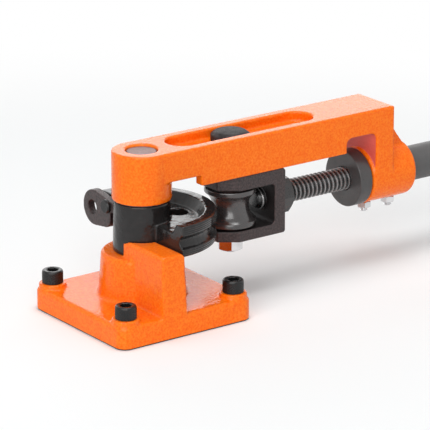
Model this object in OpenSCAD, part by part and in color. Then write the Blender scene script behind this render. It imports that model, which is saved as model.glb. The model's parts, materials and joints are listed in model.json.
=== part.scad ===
// Bench tube bender: a fixed bending die on a base casting, and a swinging arm
// whose forming roller wraps the tube round the die. Millimetres, +Z up.
// The origin is where the pivot axis meets the underside of the base, and +X
// runs along the arm, from the pivot to the handle.

/* [Base casting] */
// Side of the square base plate
base_side = 119; // [104:1:150]
// Thickness of the base plate between its screw pads
base_t = 17.5; // [16:0.5:26]
// Height of the round screw pads above the plate
pad_h = 3.5; // [1:0.5:5]
// Distance of each mounting screw from the two nearest edges
screw_inset = 11; // [9:0.5:12]
// Radius of the plate's rounded corners
corner_r = 8.5; // [6:0.5:11]
// Height of the round post above the plate
post_h = 33.7; // [30:0.1:50]
// Radius of the post at its top
post_r = 31; // [27:0.5:34]
// How much wider the foot of the post is than its top, as a radius
post_draft = 2; // [0.5:0.5:4]
// Thickness, at its top, of the reaction wall that the end of the die bears on
wall_t = 19.6; // [12:0.2:26]
// Height of the reaction wall above the top of the post
wall_rise = 12.2; // [10.5:0.1:14]

/* [Mounting screws] */
// Nominal diameter of the mounting screws
mount_screw_d = 10; // [8:1:12]
// Length of the mounting screws under the head
mount_screw_len = 20; // [14:1:20]

/* [Centre shaft] */
// Diameter of the centre shaft
shaft_d = 24; // [18:0.5:28]
// How far the end of the shaft lies below the top of the arm
shaft_recess = 1.3; // [0.5:0.1:3]
// Nominal diameter of the screw that holds the shaft from below
shaft_screw_d = 10; // [8:1:12]
// Length of that screw under its head
shaft_screw_len = 25; // [16:1:30]
// Thickness of metal between that screw's head and the shaft
shaft_web = 4.5; // [3:0.5:8]

/* [Bending die] */
// Radius of the bent tube's centre line
bend_r = 56.2; // [54:0.2:60]
// Radius of the tube groove's section
groove_r = 5.2; // [3:0.1:7]
// How far the rim stops short of the tube's centre line
rim_short = 0.7; // [0:0.1:1.5]
// Height of the die's rim
rim_h = 23.5; // [20:0.5:25]
// Distance from the tube's centre line down to the rim's lower face
rim_below = 10.9; // [9.5:0.1:12]
// Height of the tube groove's middle above the post
groove_rise = 19.2; // [18:0.1:24]
// Radius of the hub at its foot
hub_r = 22; // [19:0.5:24]
// Height of the hub
hub_h = 38.8; // [36:0.1:44]
// Depth of the pocket in the top of the die
pocket_depth = 7.75; // [3:0.25:9]
// Width of the flat ring round the pocket
ring_w = 8.5; // [6:0.5:12]
// Diameter of the hole through the floor of the pocket
die_hole_d = 15.2; // [8:0.2:15.2]

/* [Tube latch] */
// Thickness of the latch plate
latch_t = 6.5; // [4:0.5:8]
// Radius of the rounded head with the eye
latch_head_r = 13.8; // [12:0.1:15]
// Radius of the eye that the tube goes through
latch_eye_r = 5.6; // [4:0.1:7]
// Diameter of the latch pin
latch_pin_d = 7; // [5:0.5:8]
// Distance between the latch pin and the tube's centre line, along Y
latch_reach = 19.7; // [18.2:0.5:20.7]

/* [Arm casting] */
// Width of the arm
arm_w = 44; // [42:1:50]
// Length of the wall that carries the end boss
end_wall_t = 17; // [12:0.5:20]
// Height of the pivot boss
pivot_boss_h = 37.6; // [36:0.2:46]
// Radius of the pivot boss
pivot_boss_r = 22.5; // [20:0.5:25]
// Height of the side rails below the top of the arm
rail_h = 30.7; // [29.5:0.1:31]
// Thickness of each side rail
rail_t = 8.7; // [6:0.1:9]
// Thickness of the arm at the pivot end
neck_t = 22.6; // [18:0.2:24]
// Width of the recess in the top of the arm
recess_w = 26; // [24:0.5:30]
// Depth of the recess in the top of the arm
recess_depth = 7.5; // [4:0.5:8]
// Thickness of the web under the recess
web_t = 11.5; // [8:0.5:11.5]
// Length of the notch between the rails and the end wall
notch_len = 29.5; // [22:0.5:34]
// Radius of the end boss
end_boss_r = 22.2; // [20:0.2:24]
// How far the end boss stands out of the flat end
end_boss_len = 24; // [19:0.5:40]
// How far it stands out on the other side, towards the adjusting nut
boss_nose_len = 2.5; // [2:0.5:6]

/* [Handle] */
// Outer diameter of the handle tube
handle_d = 27.6; // [24:0.2:30]
// Wall thickness of the handle tube
handle_wall = 2.9; // [2:0.1:3]
// Length of the handle tube
handle_len = 262; // [180:1:500]
// Nominal diameter of the two screws that hold the handle
handle_screw_d = 6; // [5:1:8]

/* [Adjuster] */
// Radius of the round adjusting nut
adjuster_r = 22.5; // [18:0.5:25]
// Width of the adjusting nut
adjuster_w = 11.5; // [9:0.5:16]
// Thickness of the washer between the adjusting nut and the boss
adjuster_washer_t = 1.4; // [1:0.1:3]
// Outer diameter of the lead screw's thread
lead_d = 18; // [14:0.5:20]
// Length of the lead screw
lead_len = 144; // [125:1:180]
// Length of the lock nut on the lead screw
lock_nut_w = 14; // [9:0.5:15]

/* [Yoke and roller] */
// Gap between the tube's centre line and the roller's neck, at rest
roller_opening = 11.3; // [11:0.1:14]
// How far the roller can be drawn back from there
travel = 55; // [30:1:55]
// How far the roller can be advanced from there
advance = 2; // [0:0.5:2]
// Radius of the roller's flanges
roller_r = 20; // [18:0.5:20]
// Radius of the roller's neck
neck_r = 14; // [11:0.5:15]
// Radius of the roller groove's section
roller_groove_r = 12.85; // [9:0.05:13]
// Height of the window that the roller turns in
window_h = 32; // [28:0.5:32]
// Width of the yoke
yoke_w = 40; // [36:1:44]
// Distance from the roller's axis to the yoke's nose
yoke_nose = 19.5; // [12:0.5:19.5]
// Distance from the roller's axis to the yoke's back face
yoke_tail = 37.5; // [36.5:0.5:46]
// Thickness of the yoke's back wall
yoke_back_t = 10; // [7:0.5:14]
// Thickness of the yoke's lower plate
yoke_floor_t = 8.5; // [6:0.5:8.5]
// Nominal diameter of the roller bolt
roller_bolt_d = 12; // [10:1:14]
// Diameter of the roller bolt's round head
bolt_head_d = 30; // [24:0.5:32]
// Height of the roller bolt's head
bolt_head_h = 8; // [5:0.5:12]

/* [Fits] */
// Radial clearance between a shaft or screw and its bore
fit_gap = 0.05; // [0.02:0.01:0.1]
// Gap between faces that slide past each other
run_gap = 0.3; // [0.2:0.05:0.5]
// Gap between faces that bear on each other while they turn
face_gap = 0.1; // [0.05:0.01:0.2]

/* [Hidden] */
$fn = 96;
// Facets of small curved edges that are drawn as polygons
arc_steps = 6;
head_steps = 32;
// Overrun of the cutting solids
cut = 1;

// Levels, from the floor up
post_top = base_t + post_h;
bend_z = post_top + groove_rise;
rim_z0 = bend_z - rim_below;
rim_z1 = rim_z0 + rim_h;
pocket_z = rim_z1 - pocket_depth;
hub_top = post_top + hub_h;
pivot_washer_t = 1;
pivot_washer_inset = 1.2;
pivot_boss_z = hub_top + pivot_washer_t + face_gap;
arm_top = pivot_boss_z + pivot_boss_h;
neck_z = arm_top - neck_t;
rail_z = arm_top - rail_h;
recess_z = arm_top - recess_depth;
web_z = recess_z - web_t;

// Base casting: chamfer of its top edges, pads and holes
edge_c = 2;
pad_margin = 0.6;
pad_r = screw_inset - pad_margin;
screw_at = base_side / 2 - screw_inset;
hole_slack = 0.5;
mount_hole_r = mount_screw_d / 2 + hole_slack;
post_fillet = 2.5;
die_stop_x = -2.2;
wall_draft = 1.3;
wall_front_draft = 1.8;
wall_z1 = post_top + wall_rise;
hub_room = 0.6;

// Socket head screws: proportions of the nominal diameter
head_d_share = 1.6;
socket_share = 0.8;
socket_depth_share = 0.5;
tip_share = 0.1;

// Centre shaft and the screw that holds it
head_sink = 1.5;
shaft_head_z = head_sink + shaft_screw_d;
shaft_z0 = shaft_head_z + shaft_web;
shaft_chamfer = 1.2;
counterbore_slack = 1;
counterbore_r = head_d_share * shaft_screw_d / 2 + counterbore_slack;
tap_extra = 5;

// Bending die
rim_r = bend_r - rim_short;
rim_edge = 1;
ring_r = rim_r - ring_w;
pocket_slope_share = 0.65;
pocket_foot_r = ring_r - pocket_slope_share * pocket_depth;
hub_draft = 0.8;
die_hole_shift = 1.9;
die_hole_x = (hub_r + pocket_foot_r) / 2 - die_hole_shift;
die_hole_y = -3.9;
rear_x = 0;
latch_pin_y = bend_r - latch_reach;
lug_len = 14;
lug_margin = 8;
lug_y0 = latch_pin_y - lug_margin;

// Tube latch: its pin, its round tail below the pin, and the toe beside the hub
latch_pin_rise = 5.5;
latch_pin_z = bend_z + latch_pin_rise;
latch_tail_r = 7;
latch_tail_shift = 2.7;
latch_tail_drop = 10.2;
latch_toe_rise = 3;
latch_toe_drop = 3.5;
latch_toe_gap = 0.6;
latch_head_shift = 1.7;
latch_head_y = bend_r - latch_head_shift;
latch_x1 = rear_x - run_gap;
latch_x0 = latch_x1 - latch_t;
pin_head_r = 5.4;
pin_head_t = 2.4;
pin_head_chamfer = 0.8;
pin_thread_len = 12;

// Chain of lengths along the arm, from the die to the flat end
roller_x = bend_r + roller_opening + neck_r;
yoke_x0 = roller_x - yoke_nose;
yoke_x1 = roller_x + yoke_tail;
stop_spare = 3;
adjuster_x0 = yoke_x1 + lock_nut_w + travel + stop_spare;
adjuster_x1 = adjuster_x0 + adjuster_w;
nose_x0 = adjuster_x1 + face_gap + adjuster_washer_t;
boss_face = nose_x0 + boss_nose_len;
arm_end = boss_face + end_wall_t;

// Arm casting
neck_len = 39.5;
notch_x0 = boss_face - notch_len;
recess_start = 1.5;
recess_end = 20;
recess_x0 = pivot_boss_r + recess_start;
recess_x1 = notch_x0 - recess_end;
slot_slack = 1;
slot_w = roller_bolt_d + slot_slack;
slot_spare = 5;
slot_x0 = roller_x - advance - slot_w / 2 - slot_spare;
slot_x1 = roller_x + travel + slot_w / 2 + slot_spare;
notch_r = 5;
rail_gap = arm_w / 2 - rail_t;
boss_end = arm_end + end_boss_len;
boss_round = 2.5;
nose_round = 1.5;
rib_w = 16;
rib_drop = 2;
rib_top = arm_top - rib_drop;
rib_sweep_r = 133;
rib_setback = 1.5;
pivot_bore_r = shaft_d / 2 + fit_gap;
pivot_chamfer = 0.8;

// Handle
handle_r = handle_d / 2;
handle_inner_r = handle_r - handle_wall;
handle_setback = 1.5;
handle_x0 = boss_face + handle_setback;
handle_x1 = handle_x0 + handle_len;
handle_chamfer = 0.8;
handle_screw_inset = 5.5;
handle_screw_back = 11.5;
handle_screw_x = [boss_face + handle_screw_inset, boss_end - handle_screw_back];
handle_nut_h = 5;
handle_nut_af = 10;
handle_screw_out = 3;

// Adjuster
washer_r = 18;
washer_slack = 0.5;
adjuster_edge = 1.2;
lead_r = lead_d / 2;
dog_r_share = 0.7;
dog_len = 4;
dog_gap = 1.6;
lead_x0 = roller_x + roller_r + dog_gap;
lead_x1 = lead_x0 + lead_len;
lead_chamfer = 1.5;
dog_chamfer = 0.8;
nut_af_share = 1.5;
nut_h_share = 0.9;
lock_nut_af = nut_af_share * lead_d;

// Yoke and roller
yoke_z0 = bend_z - window_h / 2 - yoke_floor_t;
yoke_z1 = rail_z - run_gap;
window_z0 = bend_z - window_h / 2;
window_z1 = bend_z + window_h / 2;
window_r = 3;
nose_flat = 20;
nose_len = 14;
yoke_chamfer = 2;
yoke_foot_chamfer = 1.2;
guide_front = 10;
guide_back = 7;
guide_x0 = roller_x - guide_front;
guide_x1 = yoke_x1 - guide_back;
guide_z1 = web_z - run_gap;
roller_washer_t = 1.2;
roller_h = window_h - 2 * (roller_washer_t + run_gap);
roller_edge = 0.8;
sleeve_wall = 2;
bolt_r = roller_bolt_d / 2;
sleeve_r = bolt_r + fit_gap + sleeve_wall;
bolt_flats = recess_w - 2 * run_gap;
bolt_tip = 1.5;
nut_af = nut_af_share * roller_bolt_d;
nut_h = nut_h_share * roller_bolt_d;
bolt_tip_chamfer = 1;

// Point of a circle at a given angle, in degrees
function on_circle(centre, r, angle) = centre + r * [cos(angle), sin(angle)];

// Points of an arc from one angle to another
function arc(centre, r, a0, a1, steps = arc_steps) =
    [for (i = [0:steps]) on_circle(centre, r, a0 + (a1 - a0) * i / steps)];

// Cylinder along X
module rod_x(r, x0, x1) {
    translate([x0, 0, 0])
        rotate([0, 90, 0])
            cylinder(r = r, h = x1 - x0);
}

// Solid of revolution about Z: a rod with both end edges chamfered
module chamfered_rod(r, z0, z1, c0, c1) {
    rotate_extrude()
        polygon([[0, z0], [r - c0, z0], [r, z0 + c0], [r, z1 - c1], [r - c1, z1], [0, z1]]);
}

// The same along X
module chamfered_rod_x(r, x0, x1, c0, c1) {
    rotate([0, 90, 0]) chamfered_rod(r, x0, x1, c0, c1);
}

// Ring about Z with a round bore
module ring(r_out, r_in, z0, z1) {
    difference() {
        translate([0, 0, z0]) cylinder(r = r_out, h = z1 - z0);
        translate([0, 0, z0 - cut]) cylinder(r = r_in, h = z1 - z0 + 2 * cut);
    }
}

// Hexagonal nut about Z, measured across its flats
module hex_nut(across_flats, bore_r, z0, z1) {
    difference() {
        translate([0, 0, z0])
            cylinder(r = across_flats / 2 / cos(30), h = z1 - z0, $fn = 6);
        translate([0, 0, z0 - cut]) cylinder(r = bore_r, h = z1 - z0 + 2 * cut);
    }
}

// Socket head screw whose head stands on the level z = 0, with its shank below
module socket_screw(d, shank) {
    head_r = head_d_share * d / 2;
    socket_z = d - socket_depth_share * d;
    difference() {
        union() {
            chamfered_rod(head_r, 0, d, 0, tip_share * d);
            chamfered_rod(d / 2, -shank, cut, tip_share * d, 0);
        }
        translate([0, 0, socket_z])
            cylinder(r = socket_share * d / 2 / cos(30), h = d, $fn = 6);
    }
}

// Slot with round ends along X, as a cutting solid
module slot_x(x0, x1, width, z0, z1) {
    r = width / 2;
    translate([x0 + r, -r, z0]) cube([x1 - x0 - width, width, z1 - z0]);
    for (x = [x0 + r, x1 - r])
        translate([x, 0, z0]) cylinder(r = r, h = z1 - z0);
}

// Square slab with round corners and a chamfer c round its top
module round_slab(side, r, h, c) {
    inner = side - 2 * r;
    for (a = [0, 90])
        rotate([0, 0, a])
            bar_xz(inner)
                polygon([
                    [-side / 2, 0], [side / 2, 0], [side / 2, h - c],
                    [side / 2 - c, h], [c - side / 2, h], [-side / 2, h - c]
                ]);
    for (x = [-1, 1], y = [-1, 1])
        translate([x * inner / 2, y * inner / 2, 0]) chamfered_rod(r, 0, h, 0, c);
}

// Places its child at each of the four mounting screws
module at_mounting_screws() {
    for (x = [-screw_at, screw_at], y = [-screw_at, screw_at])
        translate([x, y, base_t + pad_h]) children();
}

// Draws a Y-Z outline as a plate from x0 to x1
module plate_yz(x0, x1) {
    translate([x0, 0, 0])
        rotate([90, 0, 90])
            linear_extrude(height = x1 - x0) children();
}

// Draws an X-Z outline as a bar of the given width, centred on y = 0
module bar_xz(width) {
    translate([0, width / 2, 0])
        rotate([90, 0, 0])
            linear_extrude(height = width) children();
}

// Round post that carries the die, with its cast foot
module post() {
    foot_r = post_r + post_draft;
    rotate_extrude()
        polygon(concat(
            [[0, base_t / 2], [foot_r + post_fillet, base_t / 2]],
            arc([foot_r + post_fillet, base_t + post_fillet], post_fillet, 270, 180),
            [[post_r, post_top - edge_c], [post_r - edge_c, post_top], [0, post_top]]
        ));
}

// Reaction wall from the post to the near edge of the plate
module reaction_wall() {
    x0 = die_stop_x - wall_t;
    foot_x0 = x0 - wall_draft;
    foot_x1 = die_stop_x + wall_draft;
    front = -base_side / 2;
    difference() {
        intersection() {
            translate([0, front / 2, 0])
                bar_xz(-front)
                    polygon([
                        [foot_x0, base_t / 2], [foot_x1, base_t / 2],
                        [foot_x1, base_t], [die_stop_x, rim_z0 - run_gap],
                        [die_stop_x, wall_z1 - edge_c], [die_stop_x - edge_c, wall_z1],
                        [x0 + edge_c, wall_z1], [x0, wall_z1 - edge_c], [foot_x0, base_t]
                    ]);
            plate_yz(foot_x0 - cut, foot_x1 + cut)
                polygon([
                    [front, 0], [0, 0], [0, wall_z1],
                    [front + wall_front_draft + edge_c, wall_z1],
                    [front + wall_front_draft, wall_z1 - edge_c], [front, base_t]
                ]);
        }
        translate([0, 0, post_top])
            cylinder(r = hub_r + hub_room, h = wall_rise + cut);
    }
}

module base_casting() {
    color([0.95, 0.38, 0.05])
        difference() {
            union() {
                round_slab(base_side, corner_r, base_t, edge_c);
                at_mounting_screws()
                    translate([0, 0, -pad_h - base_t / 2])
                        cylinder(r = pad_r, h = pad_h + base_t / 2);
                post();
                reaction_wall();
            }
            translate([0, 0, shaft_z0])
                cylinder(r = shaft_d / 2 + fit_gap, h = post_top);
            translate([0, 0, -cut])
                cylinder(r = shaft_screw_d / 2 + hole_slack, h = shaft_z0 + 2 * cut);
            translate([0, 0, -cut])
                cylinder(r = counterbore_r, h = shaft_head_z + cut);
            at_mounting_screws()
                translate([0, 0, -base_t - pad_h - cut])
                    cylinder(r = mount_hole_r, h = base_t + pad_h + 2 * cut);
        }
}

module mounting_screws() {
    color([0.12, 0.12, 0.13])
        at_mounting_screws()
            socket_screw(mount_screw_d, mount_screw_len);
}

module center_shaft() {
    color([0.55, 0.5, 0.46])
        difference() {
            chamfered_rod(shaft_d / 2, shaft_z0, arm_top - shaft_recess,
                shaft_chamfer, shaft_chamfer);
            translate([0, 0, shaft_z0 - cut])
                cylinder(r = shaft_screw_d / 2 + fit_gap,
                    h = shaft_screw_len - shaft_web + tap_extra + cut);
        }
}

module shaft_screw() {
    color([0.12, 0.12, 0.13])
        translate([0, 0, shaft_head_z])
            rotate([180, 0, 0])
                socket_screw(shaft_screw_d, shaft_screw_len);
}

// Rim and web of the die as a full disc, with the pocket in its top
module die_disc() {
    rotate_extrude()
        polygon([
            [0, rim_z0], [rim_r - rim_edge, rim_z0], [rim_r, rim_z0 + rim_edge],
            [rim_r, rim_z1 - rim_edge], [rim_r - rim_edge, rim_z1],
            [ring_r, rim_z1], [pocket_foot_r, pocket_z], [0, pocket_z]
        ]);
}

// The half of the disc that the tube is bent round, and the latch's lug
module die_half() {
    difference() {
        die_disc();
        translate([die_stop_x - rim_r, -rim_r - cut, rim_z0 - cut])
            cube([rim_r, rim_r + cut, rim_h + 2 * cut]);
        translate([rear_x - rim_r - cut, 0, rim_z0 - cut])
            cube([rim_r + cut, rim_r + cut, rim_h + 2 * cut]);
    }
    intersection() {
        translate([0, 0, rim_z0]) cylinder(r = ring_r + rim_edge, h = rim_h);
        translate([rear_x, lug_y0, rim_z0]) cube([lug_len, rim_r, rim_h]);
    }
}

module bending_die() {
    color([0.07, 0.07, 0.08])
        difference() {
            union() {
                translate([0, 0, post_top])
                    cylinder(r1 = hub_r, r2 = hub_r - hub_draft, h = hub_h);
                die_half();
            }
            translate([0, 0, post_top - cut])
                cylinder(r = shaft_d / 2 + fit_gap, h = hub_h + 2 * cut);
            rotate_extrude()
                translate([bend_r, bend_z]) circle(r = groove_r);
            translate([die_hole_x, die_hole_y, rim_z0 - cut])
                cylinder(r = die_hole_d / 2, h = rim_h);
            translate([0, latch_pin_y, latch_pin_z])
                rod_x(latch_pin_d / 2 + fit_gap, rear_x - cut, rear_x + pin_thread_len + cut);
        }
}

module pivot_washer() {
    color([0.75, 0.75, 0.76])
        ring(hub_r - hub_draft - pivot_washer_inset, shaft_d / 2 + fit_gap,
            hub_top, hub_top + pivot_washer_t);
}

module latch_pin() {
    color([0.3, 0.3, 0.31])
        translate([0, latch_pin_y, latch_pin_z]) {
            chamfered_rod_x(pin_head_r, latch_x0 - face_gap - pin_head_t, latch_x0 - face_gap,
                pin_head_chamfer, 0);
            rod_x(latch_pin_d / 2, latch_x0 - face_gap - pin_head_t / 2, rear_x + pin_thread_len);
        }
}

// Outline of the latch: a round head, a straight top that ends in a toe beside
// the hub, and a round tail
module latch_outline() {
    head = [latch_head_y, bend_z];
    tail = [latch_pin_y + latch_tail_shift, latch_pin_z - latch_tail_drop];
    toe = [hub_r + latch_toe_gap, latch_pin_z + latch_toe_rise];
    d = head - tail;
    under = atan2(d[1], d[0]) - acos((latch_tail_r - latch_head_r) / norm(d));
    e = toe - head;
    over = atan2(e[1], e[0]) - acos(latch_head_r / norm(e));
    step_z = latch_pin_z - latch_toe_drop;
    polygon(concat(
        arc(head, latch_head_r, under, over, head_steps),
        [toe, [toe[0], step_z], [tail[0] - latch_tail_r, step_z]],
        arc(tail, latch_tail_r, 180, 360 + under)
    ));
}

module tube_latch() {
    color([0.2, 0.19, 0.2])
        difference() {
            plate_yz(latch_x0, latch_x1) latch_outline();
            translate([0, bend_r, bend_z])
                rod_x(latch_eye_r, latch_x0 - cut, latch_x1 + cut);
            translate([0, latch_pin_y, latch_pin_z])
                rod_x(latch_pin_d / 2 + fit_gap, latch_x0 - cut, latch_x1 + cut);
        }
}

// Side outline of the arm, from the pivot to the flat end
module arm_outline() {
    polygon(concat(
        [[0, neck_z], [neck_len, neck_z], [neck_len, rail_z], [notch_x0, rail_z]],
        arc([notch_x0 + notch_r, web_z - notch_r], notch_r, 180, 90),
        arc([boss_face - notch_r, web_z - notch_r], notch_r, 90, 0),
        [[boss_face, bend_z], [arm_end, bend_z], [arm_end, arm_top], [0, arm_top]]
    ));
}

// Round boss along X at the end of the arm
module end_boss() {
    rotate([0, 90, 0])
        rotate_extrude()
            polygon(concat(
                [[0, nose_x0], [end_boss_r - nose_round, nose_x0]],
                arc([end_boss_r - nose_round, nose_x0 + nose_round], nose_round, 270, 360),
                arc([end_boss_r - boss_round, boss_end - boss_round], boss_round, 0, 90),
                [[0, boss_end]]
            ));
}

// Rib that sweeps from the flat end down to the boss
module end_rib() {
    top = [arm_end, rib_top];
    foot = [boss_end - rib_setback, bend_z + end_boss_r - boss_round];
    chord = foot - top;
    reach = sqrt(rib_sweep_r * rib_sweep_r - chord * chord / 4);
    centre = (top + foot) / 2 + reach * [-chord[1], chord[0]] / norm(chord);
    difference() {
        translate([arm_end - cut, -rib_w / 2, bend_z])
            cube([foot[0] - arm_end + cut, rib_w, rib_top - bend_z]);
        translate([centre[0], rib_w, centre[1]])
            rotate([90, 0, 0]) cylinder(r = rib_sweep_r, h = 2 * rib_w, $fn = 4 * $fn);
    }
}

module arm_casting() {
    color([0.95, 0.38, 0.05])
        difference() {
            union() {
                translate([0, 0, pivot_boss_z])
                    cylinder(r = pivot_boss_r, h = pivot_boss_h);
                bar_xz(arm_w) arm_outline();
                translate([0, 0, bend_z]) end_boss();
                end_rib();
            }
            translate([neck_len, -rail_gap, rail_z - cut])
                cube([notch_x0 + notch_r - neck_len, 2 * rail_gap, web_z - rail_z + cut]);
            slot_x(recess_x0, recess_x1, recess_w, recess_z, arm_top + cut);
            slot_x(slot_x0, slot_x1, slot_w, web_z - cut, recess_z + cut);
            translate([0, 0, pivot_boss_z - cut])
                cylinder(r = pivot_bore_r, h = pivot_boss_h + 2 * cut);
            translate([0, 0, arm_top - pivot_chamfer])
                cylinder(r1 = pivot_bore_r, r2 = pivot_bore_r + pivot_chamfer + cut,
                    h = pivot_chamfer + cut);
            translate([0, 0, bend_z])
                rod_x(handle_r + fit_gap, nose_x0 - cut, boss_end + cut);
            for (x = handle_screw_x)
                translate([x, 0, bend_z - end_boss_r - cut])
                    cylinder(r = handle_screw_d / 2 + fit_gap, h = end_boss_r);
        }
}

module handle_tube() {
    color([0.28, 0.28, 0.29])
        translate([0, 0, bend_z])
            difference() {
                chamfered_rod_x(handle_r, handle_x0, handle_x1, handle_chamfer, handle_chamfer);
                rod_x(handle_inner_r, handle_x0 - cut, handle_x1 + cut);
            }
}

module handle_set_screws() {
    tip_z = bend_z - handle_r - fit_gap;
    end_z = bend_z - end_boss_r - handle_nut_h - handle_screw_out;
    color([0.8, 0.8, 0.82])
        for (x = handle_screw_x)
            translate([x, 0, 0])
                chamfered_rod(handle_screw_d / 2, end_z, tip_z,
                    tip_share * handle_screw_d, tip_share * handle_screw_d);
}

module set_screw_nuts() {
    top_z = bend_z - end_boss_r;
    color([0.8, 0.8, 0.82])
        for (x = handle_screw_x)
            translate([x, 0, 0])
                hex_nut(handle_nut_af, handle_screw_d / 2 + fit_gap, top_z - handle_nut_h, top_z);
}

module adjuster_washer() {
    color([0.5, 0.5, 0.5])
        translate([0, 0, bend_z])
            rotate([0, 90, 0])
                ring(washer_r, lead_r + washer_slack, nose_x0 - adjuster_washer_t, nose_x0);
}

module adjusting_nut() {
    color([0.2, 0.2, 0.21])
        translate([0, 0, bend_z])
            difference() {
                chamfered_rod_x(adjuster_r, adjuster_x0, adjuster_x1, adjuster_edge, adjuster_edge);
                rod_x(lead_r + fit_gap, adjuster_x0 - cut, adjuster_x1 + cut);
            }
}

module lead_screw() {
    dog_r = dog_r_share * lead_r;
    color([0.25, 0.24, 0.25])
        translate([0, 0, bend_z]) {
            chamfered_rod_x(dog_r, lead_x0, lead_x0 + dog_len + cut, dog_chamfer, 0);
            chamfered_rod_x(lead_r, lead_x0 + dog_len, lead_x1, lead_chamfer, lead_chamfer);
        }
}

module yoke_lock_nut() {
    color([0.2, 0.19, 0.2])
        translate([0, 0, bend_z])
            rotate([0, 90, 0])
                hex_nut(lock_nut_af, lead_r + fit_gap, yoke_x1, yoke_x1 + lock_nut_w);
}

// Side outline of the yoke without its window
module yoke_outline() {
    polygon([
        [yoke_x0, yoke_z0], [yoke_x1 - yoke_foot_chamfer, yoke_z0],
        [yoke_x1, yoke_z0 + yoke_foot_chamfer],
        [yoke_x1, yoke_z1 - yoke_chamfer], [yoke_x1 - yoke_chamfer, yoke_z1], [yoke_x0, yoke_z1]
    ]);
}

// Plan outline of the yoke, with its tapered nose
module yoke_plan() {
    polygon([
        [yoke_x0, -nose_flat / 2], [yoke_x0 + nose_len, -yoke_w / 2], [yoke_x1, -yoke_w / 2],
        [yoke_x1, yoke_w / 2], [yoke_x0 + nose_len, yoke_w / 2], [yoke_x0, nose_flat / 2]
    ]);
}

// Window that the roller turns in, open at the nose and both sides
module yoke_window() {
    x1 = yoke_x1 - yoke_back_t;
    translate([yoke_x0 - cut, -yoke_w, window_z0])
        cube([x1 - yoke_x0 + cut - window_r, 2 * yoke_w, window_h]);
    translate([yoke_x0 - cut, -yoke_w, window_z0 + window_r])
        cube([x1 - yoke_x0 + cut, 2 * yoke_w, window_h - 2 * window_r]);
    for (z = [window_z0 + window_r, window_z1 - window_r])
        translate([x1 - window_r, yoke_w, z])
            rotate([90, 0, 0]) cylinder(r = window_r, h = 2 * yoke_w);
}

module yoke() {
    color([0.24, 0.22, 0.22])
        difference() {
            union() {
                intersection() {
                    bar_xz(yoke_w) yoke_outline();
                    translate([0, 0, yoke_z0]) linear_extrude(height = yoke_z1 - yoke_z0) yoke_plan();
                }
                translate([guide_x0, run_gap - rail_gap, window_z1 + cut])
                    cube([guide_x1 - guide_x0, 2 * (rail_gap - run_gap), guide_z1 - window_z1 - cut]);
            }
            yoke_window();
            translate([roller_x, 0, yoke_z0 - cut])
                cylinder(r = bolt_r + fit_gap, h = guide_z1 - yoke_z0 + 2 * cut);
            translate([0, 0, bend_z])
                rod_x(lead_r + fit_gap, yoke_x1 - yoke_back_t - cut, yoke_x1 + cut);
        }
}

module roller_bolt() {
    end_z = yoke_z0 - nut_h - bolt_tip;
    color([0.26, 0.26, 0.27])
        translate([roller_x, 0, 0]) {
            intersection() {
                chamfered_rod(bolt_head_d / 2, recess_z, recess_z + bolt_head_h, 0, bolt_tip_chamfer);
                translate([-bolt_head_d, -bolt_flats / 2, recess_z])
                    cube([2 * bolt_head_d, bolt_flats, bolt_head_h]);
            }
            chamfered_rod(bolt_r, end_z, recess_z + cut, bolt_tip_chamfer, 0);
        }
}

module roller_nut() {
    color([0.8, 0.8, 0.82])
        translate([roller_x, 0, 0])
            hex_nut(nut_af, bolt_r + fit_gap, yoke_z0 - nut_h, yoke_z0);
}

module roller_sleeve() {
    color([0.5, 0.5, 0.5])
        translate([roller_x, 0, 0])
            ring(sleeve_r, bolt_r + fit_gap, window_z0, window_z1);
}

module roller_washers() {
    outer_r = (sleeve_r + roller_r) / 2;
    color([0.5, 0.5, 0.5])
        translate([roller_x, 0, 0]) {
            ring(outer_r, sleeve_r + fit_gap, window_z0, window_z0 + roller_washer_t);
            ring(outer_r, sleeve_r + fit_gap, window_z1 - roller_washer_t, window_z1);
        }
}

module forming_roller() {
    color([0.15, 0.15, 0.16])
        translate([roller_x, 0, bend_z])
            difference() {
                chamfered_rod(roller_r, -roller_h / 2, roller_h / 2, roller_edge, roller_edge);
                rotate_extrude()
                    translate([neck_r + roller_groove_r, 0]) circle(r = roller_groove_r);
                translate([0, 0, -roller_h])
                    cylinder(r = sleeve_r + fit_gap, h = 2 * roller_h);
            }
}

base_casting();
mounting_screws();
center_shaft();
shaft_screw();
bending_die();
pivot_washer();
latch_pin();
tube_latch();
arm_casting();
handle_tube();
handle_set_screws();
set_screw_nuts();
adjuster_washer();
adjusting_nut();
lead_screw();
yoke_lock_nut();
yoke();
roller_bolt();
roller_nut();
roller_sleeve();
roller_washers();
forming_roller();
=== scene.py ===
"""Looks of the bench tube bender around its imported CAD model.

Blender works in metres with +Z up. The sizes of drawn details are written in millimetres.
"""

import json
import math

import bmesh
import bpy
from mathutils import Matrix, Vector


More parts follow.
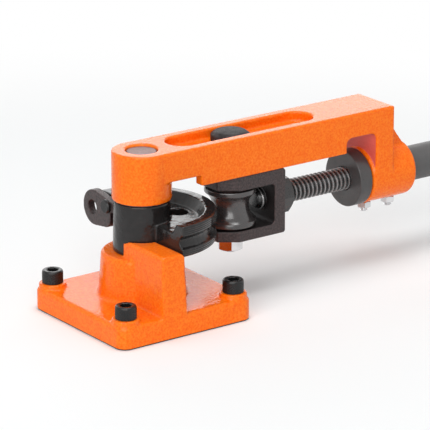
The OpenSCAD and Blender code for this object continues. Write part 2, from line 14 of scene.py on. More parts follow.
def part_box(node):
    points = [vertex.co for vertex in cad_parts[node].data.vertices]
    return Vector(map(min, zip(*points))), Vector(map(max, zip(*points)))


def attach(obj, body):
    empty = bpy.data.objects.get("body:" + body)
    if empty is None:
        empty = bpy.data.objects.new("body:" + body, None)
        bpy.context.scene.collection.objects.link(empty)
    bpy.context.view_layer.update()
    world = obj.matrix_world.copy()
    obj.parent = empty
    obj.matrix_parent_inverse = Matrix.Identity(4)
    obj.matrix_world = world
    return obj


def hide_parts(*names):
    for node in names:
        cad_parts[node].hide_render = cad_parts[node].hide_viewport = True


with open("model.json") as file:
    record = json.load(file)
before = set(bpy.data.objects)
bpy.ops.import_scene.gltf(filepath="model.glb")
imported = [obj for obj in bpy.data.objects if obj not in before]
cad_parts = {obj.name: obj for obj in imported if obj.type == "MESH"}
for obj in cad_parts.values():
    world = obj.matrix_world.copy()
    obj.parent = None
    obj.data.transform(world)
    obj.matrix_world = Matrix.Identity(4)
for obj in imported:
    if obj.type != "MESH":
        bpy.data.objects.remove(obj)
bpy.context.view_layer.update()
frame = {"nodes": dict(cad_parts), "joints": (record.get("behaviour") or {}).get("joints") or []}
NODES = frame["nodes"]
MM = 0.001
X_AXIS = 0
Z_AXIS = 2


JOINTS = {joint["name"]: joint for joint in frame["joints"]}


def corners(node):
    """A CAD node's lowest and highest corners, in millimetres."""
    low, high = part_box(node)
    return low / MM, high / MM


# Read from the frame, in millimetres: the height of the lead screw's axis, which runs along X,
# the place of the roller's axis, which runs along Z, and the radii of the lead screw and the die
AXIS_Z = JOINTS["nut_turn"]["pos_m"][2] / MM
ROLLER_X = JOINTS["roller_spin"]["pos_m"][0] / MM
LEAD_R = corners("lead_screw")[1].y
DIE_RIM_R = corners("bending_die")[1].y

# Camera, measured from the photograph's perspective: lens, angles in degrees, metres
FOCAL_PX = 3005.0
FRAME_PX = 430.0
SENSOR_MM = 36.0
CAMERA_AZIMUTH = -36.18
CAMERA_ELEVATION = 18.30
CAMERA_EYE = Vector((-1.20725, -1.74265, 0.77832))
CAMERA_FAR = 20.0

# Stage: the strength of the world as a light, and the floor, in metres. The floor turns white
# between the two distances of FLOOR_FADE.
WORLD_LIGHT = 0.34
FLOOR_COLOUR = (0.925, 0.94, 0.943)
FLOOR_SIZE = 12.0
FLOOR_Z = -0.0001
FLOOR_FADE = (0.42, 0.78)

# Lamps: place, target and size in metres, power in watts
LAMPS = {
    "overhead": ((0.08, -0.05, 1.4), (0.1, 0.0, 0.0), (0.85, 0.7), 9.2),
    "behind": ((0.95, 1.35, 0.62), (0.1, 0.0, 0.08), (1.7, 0.8), 6.6),
    "front": ((-2.0, -1.75, 1.3), (0.1, 0.0, 0.05), (3.0, 2.4), 62.0),
}

# Sizes of the drawn pieces that a node's corners don't give, in millimetres

# Socket head screws: thread, and the head's radius as a share of the thread's size
CAP_D = 10.0
CAP_PITCH = 1.5
CAP_HEAD = 0.8

# Lead screw: its thread starts behind the dog that turns in the yoke
LEAD_PITCH = 4.0
LEAD_DEPTH = 2.3
LEAD_TIPS = (2.6, 1.6)
LEAD_START = 0.9
DOG_R = 6.3
DOG_LENGTH = 1.3
DOG_EDGE = 0.5

# Adjusting nut: rounded rim, and faces that sink towards the bore
COLLAR_EDGE = 1.0
COLLAR_SINK = 0.9
COLLAR_SINK_R = 10.0

# Roller: groove, its lip, and the edge of the flanges
GROOVE_R = 12.85
GROOVE_STEPS = 32
NECK_R = 14.0
LIP_START = 0.05
LIP_END = 0.35
LIP_DROP = 0.12
FLANGE_EDGE = 0.9
FLANGE_FACE_R = 17.0

# Roller bolt: thread, and the head with its foot, bevel and crown
BOLT_R = 6.0
BOLT_PITCH = 1.75
BOLT_DEPTH = 1.0
BOLT_TIPS = (1.2, 0.0)
HEAD_HEIGHT = 8.0
FOOT_R = 14.5
FOOT_HEIGHT = 0.3
FOOT_FILLET = 0.5
RIM_FILLET = 0.3
BEVEL_HEIGHT = 3.0
BEVEL_R = 11.6
BEVEL_FILLET = 0.8
CROWN_HEIGHT = 0.5
CROWN_FILLET = 1.4

# Set screws of the handle, and how far the second nut is turned from the first, in radians
SET_R = 3.0
SET_PITCH = 1.0
SET_DEPTH = 0.6
SET_TIPS = (0.7, 0.7)
SET_NUT_TURN = 0.3

# Nuts: angle and steps of the chamfer, and its end and the bore's countersink as shares of the
# width across flats
NUT_CHAMFER = math.radians(30)
NUT_STEPS = 5
NUT_FACE = 0.475
NUT_SINK = 0.06

# Gap between a shank and its bore
PLAY = 0.05

# How far the bolt's plain shank reaches into its head and its thread
HIDDEN = 0.5

# Radius that stands for a point on an axis
POINT_R = 0.05

# Depth of the screws' metric thread as a share of its pitch
METRIC_DEPTH = 0.61

# One turn of a thread: place in the turn, and height from root to crest
THREAD_SHAPE = (
    (0.0, 0.88), (0.05, 1.0), (0.22, 1.0), (0.27, 0.88),
    (0.47, 0.06), (0.53, 0.0), (0.74, 0.0), (0.80, 0.06),
)

# Regions, as low and high corners, with a rougher skin and a darker colour that paints their shade:
# the arm's notch outside the nose of its boss, and the inside of the yoke
NOTCH = ((174.0, -20.2, 70.0), (207.2, 27.0, 112.0))
NOSE_R = 22.8
YOKE_WINDOW = ((60.0, -19.3, 53.9), (117.0, 19.3, 86.9))

# Height of the dark band along the foot of the castings that paints their contact shadow, and turning
# marks in the skin of the die's rim
CONTACT_SHADOW_HEIGHT = 0.9
RIM_SKIN = 0.35
RIM_MARK_PITCH = 1.5

# Meshes: distance in metres below which two points are one, and the angles in degrees from
# which an edge of a form and of a nut is sharp
WELD = 0.000002
SHARP = 38.0
NUT_SHARP = 20.0

# Colour sockets of Blender's Mix node, by number
MIX_A = 6
MIX_B = 7
MIX_RESULT = 2


def camera():
    az, el = math.radians(CAMERA_AZIMUTH), math.radians(CAMERA_ELEVATION)
    right = Vector((math.cos(az), math.sin(az), 0.0))
    back = Vector((math.sin(az) * math.cos(el), -math.cos(az) * math.cos(el), math.sin(el)))
    up = back.cross(right)
    data = bpy.data.cameras.new("camera")
    data.sensor_width = SENSOR_MM
    data.lens = SENSOR_MM * FOCAL_PX / FRAME_PX
    data.clip_end = CAMERA_FAR
    obj = bpy.data.objects.new("camera", data)
    bpy.context.scene.collection.objects.link(obj)
    turn = Matrix((right, up, back)).transposed().to_4x4()
    obj.matrix_world = Matrix.Translation(CAMERA_EYE) @ turn
    bpy.context.scene.camera = obj


# Materials, all from nodes


class Shader:
    """A material's node tree with short calls for the nodes used here."""

    def __init__(self, name):
        self.mat = bpy.data.materials.new(name)
        self.mat.use_nodes = True
        self.tree = self.mat.node_tree
        self.bsdf = self.tree.nodes["Principled BSDF"]
        coord = self.tree.nodes.new("ShaderNodeTexCoord")
        self.place = coord.outputs["Object"]

    def node(self, kind, **values):
        made = self.tree.nodes.new(kind)
        for key, value in values.items():
            setattr(made, key, value)
        return made

    def link(self, source, target):
        self.tree.links.new(source, target)

    def feed(self, socket, source):
        """A socket takes a number, a colour or another node's output."""
        if isinstance(source, (int, float)):
            socket.default_value = source
        elif isinstance(source, tuple):
            socket.default_value = (*source, 1.0)
        else:
            self.link(source, socket)

    def put(self, **values):
        for key, value in values.items():
            self.feed(self.bsdf.inputs[key.replace("_", " ")], value)

    def out(self, source, name):
        self.link(source, self.bsdf.inputs[name])

    def calc(self, operation, *sources):
        made = self.node("ShaderNodeMath", operation=operation)
        for socket, source in zip(made.inputs, sources):
            self.feed(socket, source)
        return made.outputs["Value"]

    def axes(self):
        split = self.node("ShaderNodeSeparateXYZ")
        self.link(self.place, split.inputs["Vector"])
        return [split.outputs[key] for key in "XYZ"]

    def radius(self, axis, centre):
        """Distance from a line along an axis, and the place along it; the centre is in millimetres."""
        across = self.axes()
        along = across.pop(axis)
        squares = []
        for part, middle in zip(across, centre):
            off = self.calc("SUBTRACT", part, middle * MM)
            squares.append(self.calc("MULTIPLY", off, off))
        return self.calc("SQRT", self.calc("ADD", *squares)), along

    def inside(self, region):
        """1 inside a region given by two corners in millimetres, 0 outside it."""
        mask = 1.0
        for axis, a, b in zip(self.axes(), *region):
            near = self.calc("COMPARE", axis, (a + b) / 2 * MM, (b - a) / 2 * MM)
            mask = self.calc("MULTIPLY", near, mask)
        return mask

    def rings(self, travel, pitch):
        """A wave along a distance; the pitch is in millimetres."""
        return self.calc("SINE", self.calc("MULTIPLY", travel, 2 * math.pi / (pitch * MM)))

    def noise(self, scale, detail, rough=0.5, stretch=None):
        tex = self.node("ShaderNodeTexNoise")
        tex.inputs["Scale"].default_value = scale
        tex.inputs["Detail"].default_value = detail
        tex.inputs["Roughness"].default_value = rough
        source = self.place
        if stretch is not None:
            mapping = self.node("ShaderNodeMapping")
            mapping.inputs["Scale"].default_value = stretch
            self.link(self.place, mapping.inputs["Vector"])
            source = mapping.outputs["Vector"]
        self.link(source, tex.inputs["Vector"])
        return tex.outputs["Fac"]

    def ramp(self, source, stops):
        """Two stops, each a place and a value or colour."""
        ramp = self.node("ShaderNodeValToRGB")
        for element, (at, value) in zip(ramp.color_ramp.elements, stops):
            element.position = at
            shade = value if isinstance(value, tuple) else (value, value, value)
            element.color = (*shade, 1.0)
        self.link(source, ramp.inputs["Fac"])
        return ramp.outputs["Color"]

    def mix(self, factor, a, b, blend="MIX"):
        made = self.node("ShaderNodeMix", data_type="RGBA", blend_type=blend)
        self.feed(made.inputs["Factor"], factor)
        self.feed(made.inputs[MIX_A], a)
        self.feed(made.inputs[MIX_B], b)
        return made.outputs[MIX_RESULT]

    def bump(self, height, depth, strength=1.0, normal=None):
        """Relief with a depth in metres, on top of the relief of a normal."""
        made = self.node("ShaderNodeBump")
        self.feed(made.inputs["Strength"], strength)
        self.feed(made.inputs["Distance"], depth)
        self.link(height, made.inputs["Height"])
        if normal is not None:
            self.link(normal, made.inputs["Normal"])
        return made.outputs["Normal"]


def orange_enamel():
    """Thick orange enamel on a casting: mottle, orange peel, a coarse skin in the notch with painted
    shade and painted reflection there, and a painted contact shadow along the foot.
    """
    s = Shader("orange_enamel")
    s.put(Specular_IOR_Level=0.18, IOR=1.5)
    speckle = [(0.34, (0.93, 0.126, 0.0)), (0.66, (1.0, 0.228, 0.014))]
    blotches = [(0.35, (0.985, 0.915, 0.85)), (0.6, (1.0, 1.0, 1.0))]
    # Darker, pinker red in the notch: painted shade and painted reflection
    painted_notch_shade = (0.80, 0.125, 0.095)
    # Near black for the band along the foot: painted contact shadow
    painted_contact_shadow = (0.022, 0.014, 0.012)
    mottle = s.ramp(s.noise(scale=600.0, detail=4.0, rough=0.6), speckle)
    slow = s.ramp(s.noise(scale=190.0, detail=4.0, rough=0.6), blotches)
    enamel = s.mix(1.0, mottle, slow, "MULTIPLY")
    off, _ = s.radius(X_AXIS, (0.0, AXIS_Z))
    clear = s.calc("GREATER_THAN", off, NOSE_R * MM)
    notch = s.calc("MULTIPLY", s.inside(NOTCH), clear)
    # In the notch the enamel gives way to painted shade and reflection; the coarse skin there is real
    # relief
    painted = s.mix(notch, enamel, painted_notch_shade)
    # Below this height the enamel turns into the painted contact shadow
    foot = s.calc("LESS_THAN", s.axes()[Z_AXIS], CONTACT_SHADOW_HEIGHT * MM)
    s.out(s.mix(foot, painted, painted_contact_shadow), "Base Color")
    gloss = s.noise(scale=300.0, detail=2.0)
    s.out(s.ramp(gloss, [(0.2, 0.1), (0.8, 0.18)]), "Roughness")
    peel = s.bump(s.noise(scale=420.0, detail=1.5), depth=0.00026)
    fine = s.bump(s.noise(scale=1100.0, detail=1.0), depth=0.000012, normal=peel)
    coarse = s.noise(scale=900.0, detail=3.0, rough=0.6)
    s.out(s.bump(coarse, depth=0.0007, strength=notch, normal=fine), "Normal")
    return s.mat


def black_enamel():
    """Gloss black on the die, with turning marks on its rim."""
    s = Shader("black_enamel")
    s.put(Specular_IOR_Level=0.36, IOR=1.5)
    blacks = [(0.3, (0.010, 0.0095, 0.0095)), (0.7, (0.020, 0.018, 0.018))]
    s.out(s.ramp(s.noise(scale=90.0, detail=3.0), blacks), "Base Color")
    gloss = s.noise(scale=180.0, detail=3.0)
    s.out(s.ramp(gloss, [(0.3, 0.07), (0.75, 0.18)]), "Roughness")
    radius, height = s.radius(Z_AXIS, (0.0, 0.0))
    rim = s.calc("GREATER_THAN", radius, (DIE_RIM_R - RIM_SKIN) * MM)
    wave = s.bump(s.noise(scale=95.0, detail=1.0, rough=0.4), depth=0.0007)
    peel = s.bump(s.noise(scale=260.0, detail=3.0, rough=0.6), depth=0.0003, normal=wave)
    marks = s.rings(height, RIM_MARK_PITCH)
    s.out(s.bump(marks, depth=0.00009, strength=rim, normal=peel), "Normal")
    return s.mat


def steel(name, low, high, rough, grain, metal=0.0, spec=0.5, scale=900.0, stretch=None):
    """Blackened, painted or bare steel: slow colour change, a fine grain, uneven gloss."""
    s = Shader(name)
    s.put(Metallic=metal, Specular_IOR_Level=spec)
    slow = s.noise(scale=140.0, detail=4.0)
    s.out(s.ramp(slow, [(0.3, low), (0.75, high)]), "Base Color")
    fine = s.noise(scale, detail=3.0, rough=0.6, stretch=stretch)
    s.out(s.ramp(fine, [(0.25, rough * 0.8), (0.75, rough * 1.25)]), "Roughness")
    s.out(s.bump(fine, grain), "Normal")
    return s.mat


def forged_steel():
    """Rough black forging; inside the yoke's window it is rougher, and a near black there paints the
    window's shade.
    """
    s = Shader("black_forging")
    s.put(Specular_IOR_Level=0.5)
    speckle = [(0.35, (0.007, 0.003, 0.003)), (0.7, (0.070, 0.044, 0.044))]
    # Near black inside the yoke's window: painted shade
    shade = (0.004, 0.002, 0.002)
    skin = s.ramp(s.noise(scale=650.0, detail=4.0, rough=0.6), speckle)
    window = s.inside(YOKE_WINDOW)
    s.out(s.mix(window, skin, shade), "Base Color")
    grain = s.noise(scale=1300.0, detail=3.0, rough=0.6)
    dull = s.calc("ADD", grain, s.calc("MULTIPLY", window, 0.3))
    s.out(s.ramp(dull, [(0.25, 0.29), (0.95, 0.6)]), "Roughness")
    s.out(s.bump(grain, depth=0.0003), "Normal")
    return s.mat


def turned_steel(name, low, high, rough, spec, pitch, depth, axis, centre):
    """Turned steel: fine rings round the piece's own axis, on its ends and its side."""
    s = Shader(name)
    s.put(Specular_IOR_Level=spec)
    slow = s.noise(scale=120.0, detail=4.0)
    s.out(s.ramp(slow, [(0.3, low), (0.75, high)]), "Base Color")
    grain = s.noise(scale=700.0, detail=3.0, rough=0.6)
    s.out(s.ramp(grain, [(0.25, rough * 0.75), (0.75, rough * 1.3)]), "Roughness")
    rings = s.rings(s.calc("ADD", *s.radius(axis, centre)), pitch)
    s.out(s.bump(rings, depth, normal=s.bump(grain, depth=0.00001)), "Normal")
    return s.mat


def screw_thread_steel():
    """Black thread with crests painted bright, as wear from the nut and as a painted highlight."""
    s = Shader("black_thread")
    s.put(Specular_IOR_Level=0.8)
    black = (0.006, 0.006, 0.006)
    # Light grey on the crests: wear from the nut, together with a painted highlight
    bright = (0.34, 0.33, 0.33)
    radius, _ = s.radius(X_AXIS, (0.0, AXIS_Z))
    crest = s.ramp(s.calc("DIVIDE", radius, LEAD_R * MM), [(0.90, 0.0), (0.97, 1.0)])
    uneven = s.ramp(s.noise(scale=260.0, detail=3.0), [(0.2, 0.55), (0.7, 1.0)])
    crest_wear_and_highlight = s.calc("MULTIPLY", crest, uneven)
    s.out(s.mix(crest_wear_and_highlight, black, bright), "Base Color")
    gloss = s.noise(scale=500.0, detail=3.0)
    s.out(s.ramp(gloss, [(0.25, 0.2), (0.75, 0.34)]), "Roughness")
    s.out(s.calc("MULTIPLY", crest_wear_and_highlight, 0.6), "Metallic")
    return s.mat


def materials():
    return {
        "orange": orange_enamel(),
        "black_enamel": black_enamel(),
        "screws": steel("black_screws", (0.006, 0.006, 0.006), (0.014, 0.014, 0.0145),
                        rough=0.27, grain=0.00001, spec=0.35),
        "forging": forged_steel(),
        "turned": turned_steel("black_turned", (0.046, 0.043, 0.043), (0.066, 0.062, 0.062),
                               rough=0.34, spec=0.5, pitch=0.35, depth=0.000004,
                               axis=X_AXIS, centre=(0.0, AXIS_Z)),
        "thread": screw_thread_steel(),
        "nut": steel("black_nut", (0.010, 0.010, 0.010), (0.030, 0.028, 0.028),
                     rough=0.3, grain=0.00006, spec=0.7),
        "bolt": steel("black_bolt", (0.012, 0.010, 0.010), (0.070, 0.063, 0.064),
                      rough=0.5, grain=0.00016, spec=0.08, scale=700.0, stretch=(1.0, 3.0, 1.0)),
        "roller": turned_steel("roller_steel", (0.024, 0.020, 0.020), (0.045, 0.039, 0.039),
                               rough=0.2, spec=1.0, pitch=0.45, depth=0.000006,
                               axis=Z_AXIS, centre=(ROLLER_X, 0.0)),
        "tube": steel("grey_tube", (0.078, 0.077, 0.077), (0.096, 0.095, 0.095),
                      rough=0.5, grain=0.00003, spec=0.45),
        "steel": steel("bare_steel", (0.10, 0.045, 0.040), (0.14, 0.068, 0.062),
                       rough=0.36, grain=0.00002, metal=1.0),
        "zinc": steel("zinc_plate", (0.62, 0.62, 0.63), (0.8, 0.8, 0.81),
                      rough=0.16, grain=0.00002, metal=1.0),
    }


# Meshes: forms are drawn in millimetres round an axis, and a function puts them in place


def new_object(name, mesh, material, body, nodes):
    obj = bpy.data.objects.new(name, mesh)
    bpy.context.scene.collection.objects.link(obj)
    mesh.materials.clear()
    mesh.materials.append(material)
    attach(obj, body)
    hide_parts(*nodes)


def upright(x, y, bottom=0.0):
    """Round a vertical axis, with heights counted up from a level."""
    return lambda u, v, h: ((x + u) * MM, (y + v) * MM, (h + bottom) * MM)


def downward(top):
    """Round the Z axis, with heights counted down from a level."""
    return lambda u, v, h: (u * MM, -v * MM, (top - h) * MM)


def lengthwise(u, v, h):
    """Round the arm's long axis."""
    return (h * MM, u * MM, (AXIS_Z + v) * MM)


class Form:
    """Surfaces of revolution, hexagons and threads, gathered into one mesh."""

    def __init__(self, place):
        self.place = place
        self.points = []
        self.faces = []

    def rows(self, rows, sides, ring=False):
        """Skin over rows of (height, radius), where a radius may be a function of the angle."""
        first = len(self.points)
        for height, radius in rows:
            for j in range(sides):
                a = 2 * math.pi * j / sides
                r = radius(a) if callable(radius) else radius
                self.points.append(self.place(r * math.cos(a), r * math.sin(a), height))
        count = len(rows)
        for i in range(count if ring else count - 1):
            low, high = first + i * sides, first + (i + 1) % count * sides
            for j in range(sides):
                k = (j + 1) % sides
                self.faces.append((low + j, low + k, high + k, high + j))
        if not ring:
            last = first + (count - 1) * sides
            self.faces.append(tuple(first + j for j in range(sides)))
            self.faces.append(tuple(last + j for j in range(sides)))

    def thread(self, h0, h1, crest, root, pitch, sides, tips):
        """A right-hand thread whose rows follow the helix; tips are the bevels at its two ends."""
        turns = int((h1 - h0) / pitch) + 2
        first = len(self.points)
        following = THREAD_SHAPE[1:] + ((1.0, THREAD_SHAPE[0][1]),)

        def radius(h, phase):
            phase %= 1.0
            for (p0, r0), (p1, r1) in zip(THREAD_SHAPE, following):
                if p0 <= phase <= p1:
                    share = r0 + (r1 - r0) * (phase - p0) / (p1 - p0)
                    break
            free = crest - max(0.0, tips[0] - (h - h0)) - max(0.0, tips[1] - (h1 - h))
            return min(root + (crest - root) * share, free)

        levels = [turn + p for turn in range(-1, turns) for p, _ in THREAD_SHAPE]
        for level in levels:
            for j in range(sides):
                share = j / sides
                h = min(max(h0 + pitch * (level + share), h0), h1)
                r = radius(h, (h - h0) / pitch - share)
                a = 2 * math.pi * share
                self.points.append(self.place(r * math.cos(a), r * math.sin(a), h))
        per_turn = len(THREAD_SHAPE)
        for i in range(len(levels) - 1):
            for j in range(sides):
                low, high = first + i * sides + j, first + (i + 1) * sides + j
                if j + 1 < sides:
                    self.faces.append((low, low + 1, high + 1, high))
                elif i + 1 + per_turn < len(levels):
                    seam = first + (i + per_turn) * sides
                    self.faces.append((low, seam, seam + sides, high))
        for h, level in ((h0, 0), (h1, len(levels) - 1)):
            self.points.append(self.place(0.0, 0.0, h))
            middle = len(self.points) - 1
            row = first + level * sides
            for j in range(sides):
                self.faces.append((middle, row + j, row + (j + 1) % sides))

    def build(self, name, material, body, nodes, sharp=SHARP):
        mesh = bpy.data.meshes.new(name)
        mesh.from_pydata(self.points, [], self.faces)
        work = bmesh.new()
        work.from_mesh(mesh)
        bmesh.ops.remove_doubles(work, verts=work.verts, dist=WELD)
        bmesh.ops.dissolve_degenerate(work, edges=work.edges, dist=WELD)
        bmesh.ops.recalc_face_normals(work, faces=work.faces)
        work.to_mesh(mesh)
        work.free()
        mesh.shade_smooth()
        mesh.set_sharp_from_angle(angle=math.radians(sharp))
        new_object(name, mesh, material, body, nodes)


def rounded(path, steps=4):
    """Rows along a path of (height, radius, fillet); a fillet takes less than half of an edge."""
    rows = []
    for i, (h, r, fillet) in enumerate(path):
        if fillet == 0 or i in (0, len(path) - 1):
            rows.append((h, r))
            continue
        here = Vector((h, r))
        ends = []
        for other in (path[i - 1], path[i + 1]):
            away = Vector(other[:2]) - here
            ends.append(here + away.normalized() * min(fillet, away.length * 0.49))
        for k in range(steps + 1):
            t = k / steps
            point = ends[0] * (1 - t) ** 2 + here * 2 * t * (1 - t) + ends[1] * t ** 2
            rows.append((point.x, point.y))
    return rows


def hexagon(across_flats, limit=math.inf, turn=0.0):
    """Radius of a hexagon by its angle, cut off at a circle."""

    def radius(a):
        part = (a + turn) % (math.pi / 3) - math.pi / 6
        return min(across_flats / 2 / math.cos(part), limit)

    return radius


def hex_corner(across_flats):
    return across_flats / 2 / math.cos(math.pi / 6)


def nut_rows(across_flats, bore, h0, h1, turn=0.0):
    """Rows of a hexagonal nut with chamfered corners and a countersunk bore."""
    face = NUT_FACE * across_flats
    slope = hex_corner(across_flats) - face
    drop = slope * math.tan(NUT_CHAMFER)
    cone = []
    for k in range(NUT_STEPS + 1):
        share = k / NUT_STEPS
        cone.append((share * drop, hexagon(across_flats, face + share * slope, turn)))
    sink = NUT_SINK * across_flats
    rows = [(h0 + sink, bore), (h0, bore + sink)]
    rows += [(h0 + step, radius) for step, radius in cone]
    rows += [(h1 - step, radius) for step, radius in reversed(cone)]
    return rows + [(h1, bore + sink), (h1 - sink, bore)]


def socket_screw(form, d, shank, pitch):
    """Socket head screw that stands on height 0, its shank below; d is the thread's size."""
    head_r = CAP_HEAD * d
    ridges = 44
    ridge_depth = 0.028 * d

    def knurl(a):
        wave = abs((a * ridges / (2 * math.pi)) % 1.0 - 0.5) * 2
        return head_r - ridge_depth * wave

    socket = 0.4 * d
    turn = math.pi / 7
    mouth = hexagon(2 * socket, socket * 1.16, turn)
    walls = hexagon(2 * socket, turn=turn)

    # Foot, knurled rim, bevel, crown, and the socket down to its floor
    rows = [
        (0.0, 0.75 * d), (0.02 * d, head_r * 0.985), (0.07 * d, knurl), (0.84 * d, knurl),
        (0.86 * d, head_r * 0.985), (0.93 * d, head_r * 0.965), (0.975 * d, head_r * 0.92),
        (d, head_r * 0.84), (d, socket * 1.22), (0.95 * d, mouth), (0.93 * d, walls),
        (0.52 * d, walls), (0.5 * d, socket * 0.9), (0.42 * d, 0.02 * d),
    ]
    form.rows(rows, sides=4 * ridges)
    root = 0.5 * d - METRIC_DEPTH * pitch
    form.thread(-shank, 0.02 * d, 0.5 * d, root, pitch, sides=32, tips=(0.1 * d, 0.0))


def soften(node, name, material, body, voxel, rounds):
    """A copy of a CAD node with the rounded edges of a casting; the voxel is in millimetres."""
    mesh = NODES[node].data.copy()
    work = bpy.data.objects.new(name + "_work", mesh)
    bpy.context.scene.collection.objects.link(work)
    remesh = work.modifiers.new("remesh", "REMESH")
    remesh.mode = "VOXEL"
    remesh.voxel_size = voxel * MM
    smooth = work.modifiers.new("smooth", "SMOOTH")
    smooth.factor = 0.5
    smooth.iterations = rounds
    bpy.context.view_layer.update()
    graph = bpy.context.evaluated_depsgraph_get()
    made = bpy.data.meshes.new_from_object(work.evaluated_get(graph))
    bpy.data.objects.remove(work)
    made.shade_smooth()
    new_object(name, made, material, body, [node])


# Pieces


def castings(mats):
    orange, black, forging = mats["orange"], mats["black_enamel"], mats["forging"]
    soften("arm_casting", "arm", orange, "arm", voxel=0.8, rounds=7)
    soften("base_casting", "base", orange, "base", voxel=0.8, rounds=8)
    soften("bending_die", "die", black, "base", voxel=0.7, rounds=5)
    soften("yoke", "yoke_frame", forging, "carriage", voxel=0.6, rounds=3)
    soften("tube_latch", "latch_plate", forging, "latch", voxel=0.6, rounds=4)


def mounting_screws(mats):
    low, high = corners("mounting_screws")
    pad_z = high.z - CAP_D
    at = high.x - CAP_HEAD * CAP_D
    for i, (sx, sy) in enumerate(((-1, -1), (1, -1), (1, 1), (-1, 1))):
        form = Form(upright(sx * at, sy * at, pad_z))
        socket_screw(form, CAP_D, pad_z - low.z, CAP_PITCH)
        form.build(f"mounting_screw_{i + 1}", mats["screws"], "base", ["mounting_screws"])


def shaft_screw(mats):
    low, high = corners("shaft_screw")
    seat_z = low.z + CAP_D
    form = Form(downward(seat_z))
    socket_screw(form, CAP_D, high.z - seat_z, CAP_PITCH)
    form.build("shaft_cap_screw", mats["screws"], "base", ["shaft_screw"])


def lead_screw(mats):
    low, high = corners("lead_screw")
    form = Form(lengthwise)
    dog_x1 = low.x + DOG_LENGTH
    dog = [(low.x, 0.0, 0), (low.x, DOG_R, DOG_EDGE), (dog_x1, DOG_R, 0), (dog_x1, 0.0, 0)]
    form.rows(rounded(dog), sides=64)
    root = LEAD_R - LEAD_DEPTH
    form.thread(low.x + LEAD_START, high.x, LEAD_R, root, LEAD_PITCH, sides=72, tips=LEAD_TIPS)
    form.build("lead_thread", mats["thread"], "carriage", ["lead_screw"])


def lock_nut(mats):
    low, high = corners("yoke_lock_nut")
    form = Form(lengthwise)
    form.rows(nut_rows(2 * high.y, LEAD_R + PLAY, low.x, high.x), sides=72, ring=True)
    form.build("lock_nut", mats["nut"], "carriage", ["yoke_lock_nut"], sharp=NUT_SHARP)


def adjusting_nut(mats):
    low, high = corners("adjusting_nut")
    bore_r = LEAD_R + PLAY
    outline = [
        (low.x, COLLAR_SINK_R, 0), (low.x, high.y, COLLAR_EDGE),
        (high.x, high.y, COLLAR_EDGE), (high.x, COLLAR_SINK_R, 0),
        (high.x - COLLAR_SINK, bore_r, 0), (low.x + COLLAR_SINK, bore_r, 0),
    ]
    form = Form(lengthwise)
    form.rows(rounded(outline), sides=128, ring=True)
    form.build("adjusting_collar", mats["turned"], "adjuster", ["adjusting_nut"])


def roller(mats):
    low, high = corners("forming_roller")
    face = (high.z - low.z) / 2
    flange_r = high.x - ROLLER_X
    bore_r = corners("roller_sleeve")[1].x - ROLLER_X + PLAY
    centre_r = NECK_R + GROOVE_R
    reach = math.sqrt(GROOVE_R ** 2 - (centre_r - flange_r) ** 2)
    half_angle = math.asin(reach / GROOVE_R)
    groove = []
    for k in range(1, GROOVE_STEPS):
        a = half_angle * (2 * k / GROOVE_STEPS - 1)
        groove.append((GROOVE_R * math.sin(a), centre_r - GROOVE_R * math.cos(a)))
    edge = [
        (reach + LIP_START, flange_r - LIP_DROP, 0), (reach + LIP_END, flange_r, 0),
        (face, flange_r, FLANGE_EDGE), (face, FLANGE_FACE_R, 0), (face, bore_r, 0),
    ]
    flange = rounded(edge)
    rows = [(-h, r) for h, r in reversed(flange)] + groove + flange
    form = Form(upright(ROLLER_X, 0.0, AXIS_Z))
    form.rows(rows, sides=128, ring=True)
    form.build("roller_wheel", mats["roller"], "roller", ["forming_roller"])


def roller_bolt(mats):
    low, high = corners("roller_bolt")
    top = high.z
    seat = top - HEAD_HEIGHT
    head_r = high.x - ROLLER_X
    flat = high.y

    def flatted(r):
        return lambda a: min(r, flat / max(abs(math.sin(a)), 1e-6))

    outline = [
        (seat, BOLT_R, 0), (seat, FOOT_R, FOOT_FILLET), (seat + FOOT_HEIGHT, head_r, RIM_FILLET),
        (top - BEVEL_HEIGHT, head_r, BEVEL_FILLET), (top - CROWN_HEIGHT, BEVEL_R, CROWN_FILLET),
        (top, POINT_R, 0),
    ]
    head = [(seat, POINT_R)] + rounded(outline, steps=5)
    yoke_z0 = corners("yoke")[0].z
    plain_r = BOLT_R - PLAY
    form = Form(upright(ROLLER_X, 0.0))
    form.rows([(h, flatted(r)) for h, r in head], sides=144)
    form.rows([(yoke_z0 - HIDDEN, plain_r), (seat + HIDDEN, plain_r)], sides=64)
    root = BOLT_R - BOLT_DEPTH
    form.thread(low.z, yoke_z0, BOLT_R, root, BOLT_PITCH, sides=48, tips=BOLT_TIPS)
    form.build("bolt", mats["bolt"], "carriage", ["roller_bolt"])


def roller_nut(mats):
    low, high = corners("roller_nut")
    form = Form(upright(ROLLER_X, 0.0))
    form.rows(nut_rows(2 * high.y, BOLT_R + PLAY, low.z, high.z), sides=72, ring=True)
    form.build("bolt_nut", mats["zinc"], "carriage", ["roller_nut"], sharp=NUT_SHARP)


def handle_screws(mats):
    zinc = mats["zinc"]
    screw_low, screw_high = corners("handle_set_screws")
    low, high = corners("set_screw_nuts")
    flats = 2 * high.y
    corner = hex_corner(flats)
    top = screw_high.z - PLAY
    root = SET_R - SET_DEPTH
    for i, x in enumerate((low.x + corner, high.x - corner)):
        screw = Form(upright(x, 0.0))
        screw.thread(screw_low.z, top, SET_R, root, SET_PITCH, sides=32, tips=SET_TIPS)
        screw.build(f"set_screw_{i + 1}", zinc, "arm", ["handle_set_screws"])
        nut = Form(upright(x, 0.0))
        rows = nut_rows(flats, SET_R + PLAY, low.z, high.z, turn=SET_NUT_TURN * i)
        nut.rows(rows, sides=72, ring=True)
        nut.build(f"set_nut_{i + 1}", zinc, "arm", ["set_screw_nuts"], sharp=NUT_SHARP)


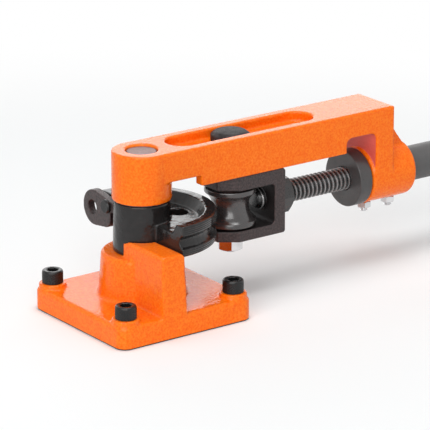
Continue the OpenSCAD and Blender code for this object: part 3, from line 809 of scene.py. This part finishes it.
def plain_pieces(mats):
    """The CAD nodes that show as they are get their finish."""
    finishes = {
        "center_shaft": "steel", "pivot_washer": "turned", "latch_pin": "screws",
        "handle_tube": "tube", "adjuster_washer": "steel", "roller_sleeve": "steel",
        "roller_washers": "steel",
    }
    for node, key in finishes.items():
        for slot in NODES[node].material_slots:
            slot.material = mats[key]


# Stage: world, lamps and floor


def seen_rays(tree):
    """1 for the rays that show a background, in the picture or in metal, 0 for the rays that light."""
    path = tree.nodes.new("ShaderNodeLightPath")
    total = path.outputs["Is Camera Ray"]
    for key in ("Is Glossy Ray", "Is Transmission Ray"):
        either = tree.nodes.new("ShaderNodeMath")
        either.operation = "MAXIMUM"
        tree.links.new(total, either.inputs[0])
        tree.links.new(path.outputs[key], either.inputs[1])
        total = either.outputs["Value"]
    return total


def floor_material():
    """Pale floor that keeps the shadow, and far from the object turns into the white background."""
    s = Shader("floor")
    s.put(Base_Color=FLOOR_COLOUR, Roughness=0.9, Specular_IOR_Level=0.1)
    radius, _ = s.radius(Z_AXIS, (0.0, 0.0))
    far = s.node("ShaderNodeMapRange", interpolation_type="SMOOTHSTEP")
    far.inputs["From Min"].default_value = FLOOR_FADE[0]
    far.inputs["From Max"].default_value = FLOOR_FADE[1]
    s.link(radius, far.inputs["Value"])
    white = s.node("ShaderNodeEmission")
    blend = s.node("ShaderNodeMixShader")
    s.link(s.calc("MULTIPLY", far.outputs["Result"], seen_rays(s.tree)), blend.inputs["Fac"])
    s.link(s.bsdf.outputs["BSDF"], blend.inputs[1])
    s.link(white.outputs["Emission"], blend.inputs[2])
    s.link(blend.outputs["Shader"], s.tree.nodes["Material Output"].inputs["Surface"])
    return s.mat


def world_light():
    world = bpy.data.worlds.new("world")
    bpy.context.scene.world = world
    world.use_nodes = True
    tree = world.node_tree
    back = tree.nodes["Background"]
    back.inputs["Color"].default_value = (1.0, 1.0, 1.0, 1.0)
    strength = tree.nodes.new("ShaderNodeMapRange")
    strength.inputs["To Min"].default_value = WORLD_LIGHT
    strength.inputs["To Max"].default_value = 1.0
    tree.links.new(seen_rays(tree), strength.inputs["Value"])
    tree.links.new(strength.outputs["Result"], back.inputs["Strength"])


def lamps():
    for name, (place, target, size, watts) in LAMPS.items():
        data = bpy.data.lights.new(name, "AREA")
        data.shape = "RECTANGLE"
        data.size, data.size_y = size
        data.energy = watts
        obj = bpy.data.objects.new(name, data)
        bpy.context.scene.collection.objects.link(obj)
        obj.location = place
        aim = Vector(target) - Vector(place)
        obj.rotation_euler = aim.to_track_quat("-Z", "Y").to_euler()


def floor_plane():
    bpy.ops.mesh.primitive_plane_add(size=FLOOR_SIZE, location=(0.0, 0.0, FLOOR_Z))
    floor = bpy.context.object
    floor.name = "floor"
    floor.data.materials.append(floor_material())


camera()
MATS = materials()
castings(MATS)
mounting_screws(MATS)
shaft_screw(MATS)
lead_screw(MATS)
lock_nut(MATS)
adjusting_nut(MATS)
roller(MATS)
roller_bolt(MATS)
roller_nut(MATS)
handle_screws(MATS)
plain_pieces(MATS)
world_light()
lamps()
floor_plane()
bpy.context.scene.view_settings.view_transform = "Standard"
